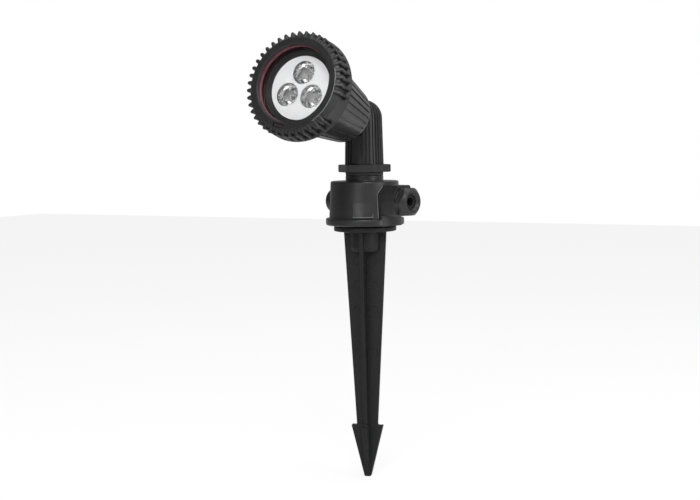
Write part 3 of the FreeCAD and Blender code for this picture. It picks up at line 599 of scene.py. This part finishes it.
# --------------------------------------------------------------------------- fine pieces
class Form:
    """One mesh under construction, drawn in millimetres of a local place.

    Edges sharper than CREASE degrees stay sharp. CREST is the section of a ridge, as shares of
    half its width and of its height.
    """

    CREASE = 32.0
    CORNER_PARTS = 3
    LIP_SHARE = 0.3
    CREST = ((-1.0, -0.4), (-0.75, 0.6), (-0.3, 1.0), (0.3, 1.0), (0.75, 0.6), (1.0, -0.4))

    def __init__(self, place: Place) -> None:
        """Start an empty form.

        Args:
            place: Turns local millimetres into metres of the frame.
        """
        self.mesh = bmesh.new()
        self.place = place

    def loop(self, points: Iterable[Iterable[float]]) -> Loop:
        """Add one loop of points and return its vertices."""
        return [self.mesh.verts.new(self.place(*point)) for point in points]

    def skin(self, first: Loop, second: Loop) -> None:
        """Join two closed loops with quads.

        Args:
            first: One loop.
            second: The next one, of the same length.
        """
        count = len(first)
        for i in range(count):
            j = (i + 1) % count
            self.mesh.faces.new((first[i], first[j], second[j], second[i]))

    def bar(self, loops: Sequence[Loop]) -> None:
        """Join a row of closed loops and close both of its ends.

        Args:
            loops: The loops, of the same length.
        """
        for first, second in zip(loops, loops[1:]):
            self.skin(first, second)
        self.mesh.faces.new(loops[0])
        self.mesh.faces.new(loops[-1])

    def arc(self, profile: Profile, start: float, end: float, parts: int) -> None:
        """Turn a closed outline through part of a circle about the local Z axis.

        Args:
            profile: (radius, height) points.
            start: Degrees from the local X axis at which it starts.
            end: Degrees at which it ends.
            parts: Parts of the turn.
        """
        loops = []
        for i in range(parts + 1):
            turn = math.radians(start + (end - start) * i / parts)
            loops.append(self.loop((radius * math.cos(turn), radius * math.sin(turn), height)
                                   for radius, height in profile))
        self.bar(loops)

    def lathe(self, profile: Profile, parts: int, centre: Tuple[float, float] = (0.0, 0.0),
              closed: bool = False) -> None:
        """Turn an outline all the way about an axis along the local Z.

        Args:
            profile: (radius, height) points. A first or last radius of 0 ends in a point.
            parts: Sides of the turn.
            centre: Where the axis stands.
            closed: Whether the outline's last point joins its first.
        """
        rings: List[Loop] = []
        for radius, height in profile:
            turns = [2 * math.pi * i / parts for i in range(parts)] if radius > 0.0 else [0.0]
            rings.append(self.loop((centre[0] + radius * math.cos(turn),
                                    centre[1] + radius * math.sin(turn), height)
                                   for turn in turns))
        pairs = list(zip(rings, rings[1:]))
        if closed:
            pairs.append((rings[-1], rings[0]))
        for low, high in pairs:
            if len(low) == len(high):
                self.skin(low, high)
                continue
            tip, rim = (low[0], high) if len(low) == 1 else (high[0], low)
            for i in range(parts):
                self.mesh.faces.new((tip, rim[i], rim[(i + 1) % parts]))

    def cushion(self, centre: Tuple[float, float], half: float, low: float, high: float,
                round_by: float, turn: float) -> None:
        """Add a square plate with rounded corners and a chamfered top.

        Args:
            centre: The middle of the plate.
            half: Half of its side.
            low: The height of its underside.
            high: The height of its top.
            round_by: Radius of its corners.
            turn: Its turn in radians.
        """
        lip = (high - low) * self.LIP_SHARE
        loops = []
        for size, height in ((half, low), (half, high - lip), (half - lip, high)):
            reach = size - round_by
            points = []
            for corner in range(4):
                for k in range(self.CORNER_PARTS + 1):
                    angle = math.pi / 2 * (corner + k / self.CORNER_PARTS)
                    x = reach * (1 if corner in (0, 3) else -1) + round_by * math.cos(angle)
                    y = reach * (1 if corner in (0, 1) else -1) + round_by * math.sin(angle)
                    points.append((centre[0] + x * math.cos(turn) - y * math.sin(turn),
                                   centre[1] + x * math.sin(turn) + y * math.cos(turn),
                                   height))
            loops.append(self.loop(points))
        self.bar(loops)

    def ridge(self, path: Sequence[Vector], width: Vector, rise: Sequence[Vector],
              bulge: float) -> None:
        """Lay a low ridge with a rounded crest along a line.

        Args:
            path: Points of the ridge's foot, in local millimetres.
            width: Half of the ridge's width, across it.
            rise: The way out of the surface at each point.
            bulge: The ridge's height.
        """
        self.bar([self.loop(point + width * across + out * (bulge * up)
                            for across, up in self.CREST)
                  for point, out in zip(path, rise)])

    def piece(self, name: str, finish: bpy.types.Material, body: Body, slot: Slot,
              instead_of: Sequence[str] = ()) -> None:
        """Make the object, dress it and let it ride on its body.

        Args:
            name: The piece's name.
            finish: Its material.
            body: The body that carries it.
            slot: A material slot; not used.
            instead_of: The solids that it stands for.
        """
        bmesh.ops.recalc_face_normals(self.mesh, faces=self.mesh.faces)
        mesh = bpy.data.meshes.new(name)
        self.mesh.to_mesh(mesh)
        self.mesh.free()
        for polygon in mesh.polygons:
            polygon.use_smooth = True
        mesh.set_sharp_from_angle(angle=math.radians(self.CREASE))
        mesh.materials.append(finish)
        piece = bpy.data.objects.new(name, mesh)
        bpy.context.scene.collection.objects.link(piece)
        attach(piece, body.value)
        if instead_of:
            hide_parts(*instead_of)
        LOG.info("piece %s: %d faces on %s", name, len(mesh.polygons), body.value)


def upright_place(bearing: float = 0.0) -> Place:
    """Return the place of a piece that is drawn upright on the post's axis.

    Args:
        bearing: Degrees that the drawing's -Y is turned toward +X.

    Returns:
        The place.
    """
    turn = Matrix.Rotation(math.radians(bearing), 3, "Z")
    return lambda x, y, z: turn @ Vector((x, y, z)) * MM


def oval(radius: float, height: float, wide: float, tall: float) -> Profile:
    """Return an oval outline of twelve points.

    Args:
        radius: Distance of its middle from the axis.
        height: Height of its middle.
        wide: Half of its width.
        tall: Half of its height.

    Returns:
        Its (radius, height) points.
    """
    turns = [math.radians(degrees) for degrees in range(0, 360, 30)]
    return [(radius + wide * math.cos(turn), height + tall * math.sin(turn)) for turn in turns]


@dataclass
class LightUnit:
    """The emitters under the lenses, the gasket's bead with its painted highlight and a dark film
    of painted shade at the drain window.
    """

    finishes: Finishes
    tilt_axis: float = 91.9
    head_drop: float = 6.2
    elevation: float = 15.0
    board_front: float = 92.0
    emitter_count: int = 3
    emitter_ring: float = 11.8
    emitter_turn: float = 84.4
    seat: float = 0.02
    base_half: float = 1.7
    base_rise: float = 0.7
    base_round: float = 0.25
    phosphor_half: float = 0.75
    phosphor_rise: float = 0.12
    phosphor_round: float = 0.12
    dome_r: float = 1.4
    dome_gap: float = 0.01
    dome_parts: int = 8
    dome_sides: int = 28
    brim: float = 0.12
    brim_edge: float = 0.08
    bead_r: float = 29.55
    bead_at: float = 114.4
    bead_wide: float = 0.55
    bead_tall: float = 0.5
    bead_sides: int = 128
    gasket_front: float = 116.5
    # Where the drain window stands, and the film of painted shade laid on the gasket behind it.
    drain_at: float = 255.5
    drain_half: float = 10.5
    shade_inner: float = 31.0
    shade_outer: float = 33.9
    shade_rise: float = 0.14
    shade_edge: float = 0.05
    shade_slope: float = 0.3
    shade_parts: int = 8

    def place(self, x: float, y: float, along: float) -> Vector:
        """Return the place in the frame of a point drawn on the lamp.

        Args:
            x: Millimetres toward the frame's +X.
            y: Millimetres from the lamp's axis toward its top.
            along: Millimetres along the lamp's axis toward its front.

        Returns:
            The place in metres.
        """
        turn = Matrix.Rotation(math.radians(90.0 - self.elevation), 3, "X")
        spot = turn @ Vector((x, y - self.head_drop, along))
        return (spot + UP * self.tilt_axis) * MM

    def spots(self) -> List[Triple]:
        """Place the emitters in a ring.

        Returns:
            The middle of each emitter in millimetres, and its turn in radians.
        """
        step = 360.0 / self.emitter_count
        angles = [math.radians(self.emitter_turn + step * i) for i in range(self.emitter_count)]
        return [(self.emitter_ring * math.cos(a), self.emitter_ring * math.sin(a), a)
                for a in angles]

    def build_bases(self) -> None:
        """Build the emitters' white bases."""
        form = Form(self.place)
        for x, y, turn in self.spots():
            form.cushion((x, y), self.base_half, self.board_front + self.seat,
                         self.board_front + self.base_rise, self.base_round, turn)
        form.piece("led_bases", self.finishes.white, Body.LAMP, Slot.PLATE, ("led_emitters",))

    def build_phosphor(self) -> None:
        """Build the yellow squares in the middle of the bases."""
        form = Form(self.place)
        top = self.board_front + self.base_rise
        for x, y, turn in self.spots():
            form.cushion((x, y), self.phosphor_half, top - self.seat, top + self.phosphor_rise,
                         self.phosphor_round, turn)
        form.piece("led_phosphor", self.finishes.phosphor, Body.LAMP, Slot.LENS)

    def build_domes(self) -> None:
        """Build the clear domes with their brims."""
        form = Form(self.place)
        low = self.board_front + self.base_rise + self.dome_gap
        high, reach = low + self.brim, self.dome_r + self.brim
        profile = [(0.0, low), (reach, low), (reach, low + self.brim_edge), (self.dome_r, high)]
        for i in range(1, self.dome_parts + 1):
            rise = math.radians(90.0 * i / self.dome_parts)
            profile.append((self.dome_r * math.cos(rise) if i < self.dome_parts else 0.0,
                            high + (self.dome_r - self.brim) * math.sin(rise)))
        for x, y, _ in self.spots():
            form.lathe(profile, self.dome_sides, (x, y))
        form.piece("led_domes", self.finishes.lens, Body.LAMP, Slot.LENS)

    def build_bead(self) -> None:
        """Build the fine bead round the gasket's bore, in a lighter red that paints a highlight.
        """
        form = Form(self.place)
        form.lathe(oval(self.bead_r, self.bead_at, self.bead_wide, self.bead_tall),
                   self.bead_sides, closed=True)
        form.piece("gasket_bead", self.finishes.gasket_highlight, Body.LAMP, Slot.GASKET)

    def build_window_shade(self) -> None:
        """Build the dark film of painted shade that lies on the gasket behind the ring's drain
        window.
        """
        form = Form(self.place)
        low, high = self.gasket_front + self.seat, self.gasket_front + self.shade_rise
        inner, outer, slope = self.shade_inner, self.shade_outer, self.shade_slope
        profile = ((inner, low), (inner, high - self.shade_edge), (inner + slope, high),
                   (outer - slope, high), (outer, high - self.shade_edge), (outer, low))
        form.arc(profile, self.drain_at - self.drain_half, self.drain_at + self.drain_half,
                 self.shade_parts)
        form.piece("drain_window_shade", self.finishes.window_shade, Body.LAMP, Slot.GASKET)

    def build(self) -> None:
        """Build every piece."""
        self.build_bases()
        self.build_phosphor()
        self.build_domes()
        self.build_bead()
        self.build_window_shade()


@dataclass
class RingTrim:
    """The screw ring's face rim with a stretch of painted highlight, its back rim and the high
    backs of its grip ribs.
    """

    light: LightUnit
    rim_r: float = 34.92
    rim_at: float = 117.98
    rim_half: float = 0.29
    rim_step: float = 2.2
    # The arc of the face rim that carries a painted highlight.
    highlight_from: float = -56.0
    highlight_to: float = 17.0
    highlight_proud: float = 0.02
    back_r: float = 40.25
    back_inner: float = 36.6
    back_at: float = 101.0
    back_chamfer: float = 0.4
    back_flat: float = 1.3
    back_slope: float = 0.8
    back_slope_end: float = 2.2
    back_depth: float = 3.0
    back_sides: int = 168
    rib_count: int = 42
    rib_turn: float = 5.3
    rib_front: float = 115.2
    rib_length: float = 13.2
    rib_foot: float = 37.3
    rib_flare: float = 0.3
    rib_half: float = 1.6
    rib_rise: float = 2.6
    rib_parts: int = 4
    panel_from: int = 37
    panel_ribs: int = 3
    panel_gap: float = 1.25
    panel_parts: int = 12
    panel: Profile = ((36.5, 101.6), (40.2, 101.6), (39.82, 115.5), (35.3, 117.86),
                      (34.9, 117.6), (36.5, 115.0))

    def build_face_rim(self) -> None:
        """Build the plain rim and the stretch of it beside the plain grip panel that carries a
        painted highlight in the pale finish.
        """
        finishes = self.light.finishes
        for name, finish, start, end, half in (
                ("ring_rim", finishes.housing, self.highlight_to, self.highlight_from + 360.0,
                 self.rim_half),
                ("ring_rim_painted_highlight", finishes.edge, self.highlight_from, self.highlight_to,
                 self.rim_half + self.highlight_proud)):
            form = Form(self.light.place)
            form.arc(oval(self.rim_r, self.rim_at, half, half), start, end,
                     round((end - start) / self.rim_step))
            form.piece(name, finish, Body.RING, Slot.HOUSING)

    def build_back_rim(self) -> None:
        """Build the plain rim that closes the grip ribs at the ring's back."""
        form = Form(self.light.place)
        inner, outer, back = self.back_inner, self.back_r, self.back_at
        profile = ((inner, back), (outer - self.back_chamfer, back),
                   (outer, back + self.back_chamfer), (outer, back + self.back_flat),
                   (outer - self.back_slope, back + self.back_slope_end),
                   (inner, back + self.back_depth))
        form.lathe(profile, self.back_sides, closed=True)
        form.piece("ring_back_rim", self.light.finishes.housing, Body.RING, Slot.HOUSING)

    def build_rib_backs(self) -> None:
        """Build the ribs' high backs, apart from those that the plain panel replaces."""
        form = Form(self.light.place)
        plain = range(self.panel_from, self.panel_from + self.panel_ribs)
        shares = [k / self.rib_parts for k in range(self.rib_parts + 1)]
        for i in range(self.rib_count):
            if i in plain:
                continue
            turn = math.radians(self.rib_turn + 360.0 / self.rib_count * i)
            out = Vector((math.cos(turn), math.sin(turn), 0.0))
            path = [out * (self.rib_foot + self.rib_flare * share)
                    + UP * (self.rib_front - self.rib_length * share) for share in shares]
            form.ridge(path, UP.cross(out) * self.rib_half, [out] * len(path), self.rib_rise)
        form.piece("ring_rib_backs", self.light.finishes.housing, Body.RING, Slot.HOUSING)

    def build_panel(self) -> None:
        """Build the plain panel that flares to the back rim."""
        form = Form(self.light.place)
        pitch = 360.0 / self.rib_count
        middle = self.rib_turn + pitch * (self.panel_from + (self.panel_ribs - 1) / 2)
        half = pitch * self.panel_ribs / 2 - self.panel_gap
        form.arc(self.panel, middle - half, middle + half, self.panel_parts)
        form.piece("ring_grip_panel", self.light.finishes.housing, Body.RING, Slot.HOUSING)

    def build(self) -> None:
        """Build every piece."""
        self.build_face_rim()
        self.build_back_rim()
        self.build_rib_backs()
        self.build_panel()


@dataclass
class BoxTrim:
    """The lower half of the gland's boss and the fine ridges on the drum, whose pale finish is a
    painted highlight.

    The shoulder's points are (distance to the boss's left, height, radius).
    """

    finishes: Finishes
    gland_bearing: float = 72.0
    boss_half: float = 11.55
    boss_from: float = 25.0
    boss_to: float = 43.6
    boss_mid: float = 24.9
    boss_low: float = 13.6
    boss_round: float = 1.5
    boss_corner_parts: int = 4
    boss_edge: float = 0.6
    boss_bevel: float = 0.18
    flange_r: float = 32.2
    flange_side: float = 12.2
    flange_low: float = 6.2
    flange_high: float = 9.9
    drum_r: float = 29.35
    drum_side: float = 12.0
    drum_low: float = 11.3
    drum_step: float = 2.0
    drum_steps: int = 10
    drum_taper: float = 0.045
    shoulder: Sequence[Triple] = ((11.9, 31.1, 28.45), (9.6, 34.2, 28.3), (7.2, 37.4, 28.15))
    catch_bearing: float = 23.0
    catch_half: float = 15.6
    catch_z: float = 12.55
    catch_r: float = 30.12
    catch_parts: int = 16
    catch_end: Sequence[float] = (0.0, 1.0, 2.0, 3.0)
    catch_lean: float = 0.13
    end_width_share: float = 0.7
    end_height_share: float = 0.8
    ridge: float = 0.34

    def on_boss(self, along: float, across: float, height: float) -> Vector:
        """Return a place drawn along the gland's axis, in millimetres.

        Args:
            along: Distance out along the gland's bearing.
            across: Distance toward the left side of the boss.
            height: Height above the ground.

        Returns:
            The point.
        """
        bearing = math.radians(self.gland_bearing)
        out = Vector((math.sin(bearing), -math.cos(bearing), 0.0))
        left = Vector((-math.cos(bearing), -math.sin(bearing), 0.0))
        return out * along + left * across + UP * height

    def on_drum(self, bearing: float, radius: float, height: float) -> Vector:
        """Return a place on the drum, in millimetres."""
        turn = math.radians(bearing)
        return Vector((radius * math.sin(turn), -radius * math.cos(turn), height))

    def build_boss(self) -> None:
        """Build the boss's square lower half with its rounded edges."""
        form = Form(upright_place())
        half, mid, round_by = self.boss_half, self.boss_mid, self.boss_round
        left = [(-half, mid)]
        for k in range(self.boss_corner_parts + 1):
            turn = math.radians(180.0 + 90.0 * k / self.boss_corner_parts)
            left.append((-half + round_by + round_by * math.cos(turn),
                         self.boss_low + round_by + round_by * math.sin(turn)))
        section = left + [(-across, height) for across, height in reversed(left)]
        loops = []
        for along, inset in ((self.boss_from, 0.0), (self.boss_to - self.boss_edge, 0.0),
                             (self.boss_to - self.boss_bevel, self.boss_bevel),
                             (self.boss_to, self.boss_edge)):
            share = (half - inset) / half
            loops.append(form.loop(self.on_boss(along, across * share,
                                                mid + (height - mid) * share)
                                   for across, height in section))
        form.bar(loops)
        form.piece("gland_boss_foot", self.finishes.housing, Body.BOX, Slot.HOUSING)

    def build_seam(self) -> None:
        """Build the fine ridge where the boss's left side meets the flange and the drum, in the
        pale finish of painted highlight.
        """
        form = Form(upright_place())
        flange = [(self.flange_side, self.flange_low, self.flange_r),
                  (self.flange_side, self.flange_high, self.flange_r)]
        climbs = [self.drum_step * i for i in range(self.drum_steps)]
        drum = [(self.drum_side, self.drum_low + climb, self.drum_r - self.drum_taper * climb)
                for climb in climbs]
        for path in (flange, drum + list(self.shoulder)):
            points = [self.on_boss(math.sqrt(r * r - w * w), w, z) for w, z, r in path]
            outs = [Vector((p.x, p.y, 0.0)).normalized() for p in points]
            form.ridge(points, outs[0].cross(UP) * self.ridge, outs, self.ridge)
        form.piece("gland_boss_seam", self.finishes.edge, Body.BOX, Slot.HOUSING)

    def build_catch(self) -> None:
        """Build the lip along the lower edge of the front catch and up its right end, in the pale
        finish of painted highlight.
        """
        form = Form(upright_place())
        left = self.catch_bearing - self.catch_half
        bearings = [left + 2 * self.catch_half * i / self.catch_parts
                    for i in range(self.catch_parts + 1)]
        points = [self.on_drum(b, self.catch_r, self.catch_z) for b in bearings]
        outs = [Vector((p.x, p.y, 0.0)).normalized() for p in points]
        form.ridge(points, UP * self.ridge, outs, self.ridge)
        end = [self.on_drum(bearings[-1], self.catch_r - self.catch_lean * z, self.catch_z + z)
               for z in self.catch_end]
        form.ridge(end, outs[-1].cross(UP) * (self.ridge * self.end_width_share),
                   [outs[-1]] * len(end), self.ridge * self.end_height_share)
        form.piece("catch_lip", self.finishes.edge, Body.BOX, Slot.HOUSING)

    def build(self) -> None:
        """Build every piece."""
        self.build_boss()
        self.build_seam()
        self.build_catch()


@dataclass
class PartingLines:
    """The fine ridges that the mould leaves on the spike's vanes."""

    finishes: Finishes
    bearing: float = 14.5
    top_r: float = 17.7
    low_r: float = 8.7
    low_proud: float = 0.02
    tube_depth: float = 17.8
    tube_gap: float = 0.3
    barb_depth: float = 162.6
    barb_gap: float = 0.9
    barb_r: float = 13.3
    barb_inset: float = 0.3
    tip_r: float = 2.6
    tip_proud: float = 0.35
    tip_gap: float = 1.9
    spike_depth: float = 206.0
    half_width: float = 0.2
    height: float = 0.14
    parts: int = 6

    def build(self) -> None:
        """Build one ridge down each vane's edge and each edge of the point."""
        form = Form(upright_place(self.bearing))
        shank_top = self.tube_depth + self.tube_gap
        slope = (self.top_r - self.low_r) / self.barb_depth
        shank = (Vector((self.top_r - slope * shank_top, 0.0, -shank_top)),
                 Vector((self.low_r + self.low_proud, 0.0, self.barb_gap - self.barb_depth)))
        point = (Vector((self.barb_r - self.barb_inset, 0.0, -self.barb_depth - self.barb_gap)),
                 Vector((self.tip_r + self.tip_proud, 0.0, self.tip_gap - self.spike_depth)))
        for quarter in range(4):
            turn = Matrix.Rotation(math.radians(90.0 * quarter), 3, "Z")
            across = turn @ Vector((0.0, self.half_width, 0.0))
            for top, low in (shank, point):
                path = [turn @ top.lerp(low, i / self.parts) for i in range(self.parts + 1)]
                out = turn @ Vector((top.z - low.z, 0.0, low.x - top.x)).normalized()
                form.ridge(path, across, [out] * len(path), self.height)
        form.piece("spike_parting_lines", self.finishes.spike, Body.BOX, Slot.SPIKE)


# --------------------------------------------------------------------------- studio
@dataclass
class SoftBox:
    """One soft lamp, aimed at a point."""

    name: str
    place: Triple
    size: Tuple[float, float]
    power: float
    aim: Triple

    def build(self) -> None:
        """Build the lamp."""
        data = bpy.data.lights.new(self.name, "AREA")
        data.shape = "RECTANGLE"
        data.size, data.size_y = self.size
        data.energy = self.power
        lamp = bpy.data.objects.new(self.name, data)
        bpy.context.scene.collection.objects.link(lamp)
        lamp.location = self.place
        ahead = Vector(self.aim) - Vector(self.place)
        lamp.rotation_euler = ahead.to_track_quat("-Z", "Y").to_euler()
        LOG.info("lamp %s", self.name)


@dataclass
class Studio:
    """Pale floor, pale surroundings and soft lamps."""

    floor_z: float = -0.2062
    floor_size: float = 6.0
    floor_colour: Colour = (0.9, 0.9, 0.9)
    floor_white: float = 0.82
    floor_mirrored: float = 0.35
    surround_way: Triple = (0.86, 0.44, 0.26)
    surround_left: float = 0.12
    surround_right: float = 0.75
    surround_from: float = -0.7
    surround_to: float = 0.8
    surround_mirrored: float = 0.08
    lamps: List[SoftBox] = field(default_factory=lambda: [
        SoftBox("softbox_front", place=(0.12, -1.38, 0.54), size=(0.42, 0.6), power=6.5,
                aim=(0.0, 0.0, 0.04)),
        SoftBox("softbox_high", place=(0.437, -0.937, 0.918), size=(0.7, 0.7), power=10.0,
                aim=(0.0, -0.05, 0.1)),
        SoftBox("softbox_right", place=(1.25, -0.22, 0.34), size=(0.5, 0.9), power=5.0,
                aim=(0.0, 0.0, 0.06)),
        SoftBox("softbox_top", place=(0.2, 0.1, 1.25), size=(1.0, 1.0), power=7.0,
                aim=(0.0, -0.03, 0.1))])

    def plain_white(self, sheet: NodeSheet, mirrored: float) -> Any:
        """Say how much of a backdrop is plain white to the ray that meets it.

        Args:
            sheet: The backdrop's nodes.
            mirrored: The share in a mirrored view. Seen straight or through glass it is 1.

        Returns:
            The share's socket.
        """
        seen = sheet.add("ShaderNodeLightPath")
        straight = sheet.maths("MAXIMUM", seen.outputs["Is Camera Ray"],
                               seen.outputs["Is Transmission Ray"])
        glossy = sheet.maths("MULTIPLY", seen.outputs["Is Glossy Ray"], mirrored)
        return sheet.maths("MAXIMUM", straight, glossy)

    def build_paper(self) -> bpy.types.Material:
        """Build a pale paper that reads as white where it is seen.

        Returns:
            The material.
        """
        sheet = NodeSheet(bpy.data.materials.new("floor_paper"))
        paint = sheet.lobe("ShaderNodeBsdfDiffuse", Color=(*self.floor_colour, 1.0))
        white = sheet.lobe("ShaderNodeEmission", Color=WHITE)
        share = sheet.maths("MULTIPLY", self.plain_white(sheet, self.floor_mirrored),
                            self.floor_white)
        sheet.mixed(share, paint.outputs["BSDF"], white.outputs["Emission"])
        return sheet.owner

    def build_floor(self) -> None:
        """Build the floor sheet under the spike's point."""
        mesh = bpy.data.meshes.new("studio_floor")
        half = self.floor_size / 2
        outline = [(-half, -half, 0), (half, -half, 0), (half, half, 0), (-half, half, 0)]
        mesh.from_pydata(outline, [], [(0, 1, 2, 3)])
        mesh.materials.append(self.build_paper())
        floor = bpy.data.objects.new("studio_floor", mesh)
        floor.location = (0.0, 0.0, self.floor_z)
        bpy.context.scene.collection.objects.link(floor)

    def build_world(self) -> None:
        """Make the surroundings white to the camera and a soft grey to the light."""
        sheet = NodeSheet(bpy.data.worlds.new("studio_surround"), "ShaderNodeOutputWorld")
        bpy.context.scene.world = sheet.owner
        side = sheet.add("ShaderNodeVectorMath", operation="DOT_PRODUCT")
        side.inputs[1].default_value = self.surround_way
        sheet.link(sheet.add("ShaderNodeTexCoord").outputs["Generated"], side.inputs[0])
        level = sheet.span(side.outputs["Value"], self.surround_left, self.surround_right,
                           self.surround_from, self.surround_to)
        soft = sheet.lobe("ShaderNodeBackground", Color=WHITE)
        sheet.link(level, soft.inputs["Strength"])
        white = sheet.lobe("ShaderNodeBackground", Color=WHITE, Strength=1.0)
        sheet.mixed(self.plain_white(sheet, self.surround_mirrored),
                    soft.outputs["Background"], white.outputs["Background"])

    def build(self) -> None:
        """Build the floor, the surroundings and the lamps."""
        self.build_floor()
        self.build_world()
        for lamp in self.lamps:
            lamp.build()


@dataclass
class PhotoCamera:
    """The camera at the photograph's place and angle."""

    place: Triple = (0.4464, -0.8949, 0.07307)
    bearing: float = 27.24
    pitch: float = 5.087
    roll: float = -0.8
    lens: float = 62.57
    sensor: float = 36.0

    def build(self) -> None:
        """Build the camera and make it the scene's."""
        bearing, pitch, roll = (math.radians(a) for a in (self.bearing, self.pitch, self.roll))
        ahead = Vector((-math.sin(bearing) * math.cos(pitch),
                        math.cos(bearing) * math.cos(pitch), -math.sin(pitch)))
        level = Vector((math.cos(bearing), math.sin(bearing), 0.0))
        upright = level.cross(ahead)
        right = level * math.cos(roll) + upright * math.sin(roll)
        above = upright * math.cos(roll) - level * math.sin(roll)
        data = bpy.data.cameras.new("photo_camera")
        data.sensor_width = self.sensor
        data.lens = self.lens
        camera = bpy.data.objects.new("photo_camera", data)
        bpy.context.scene.collection.objects.link(camera)
        turn = Matrix((right, above, -ahead)).transposed().to_4x4()
        camera.matrix_world = Matrix.Translation(Vector(self.place)) @ turn
        bpy.context.scene.camera = camera


def main() -> None:
    """Build the whole scene."""
    logging.basicConfig(level=logging.INFO, format="%(name)s: %(message)s")
    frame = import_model()
    bpy.context.scene.view_settings.view_transform = "Standard"
    PhotoCamera().build()
    finishes = Finishes()
    # The gland's seal takes the darker finish that paints the shade in the nut's bore.
    Solids(frame, finishes, {"gland_seal": finishes.gland_core_shaded}).dress()
    light = LightUnit(finishes)
    light.build()
    RingTrim(light).build()
    BoxTrim(finishes).build()
    PartingLines(finishes).build()
    Studio().build()


if __name__ == "__main__":
    main()
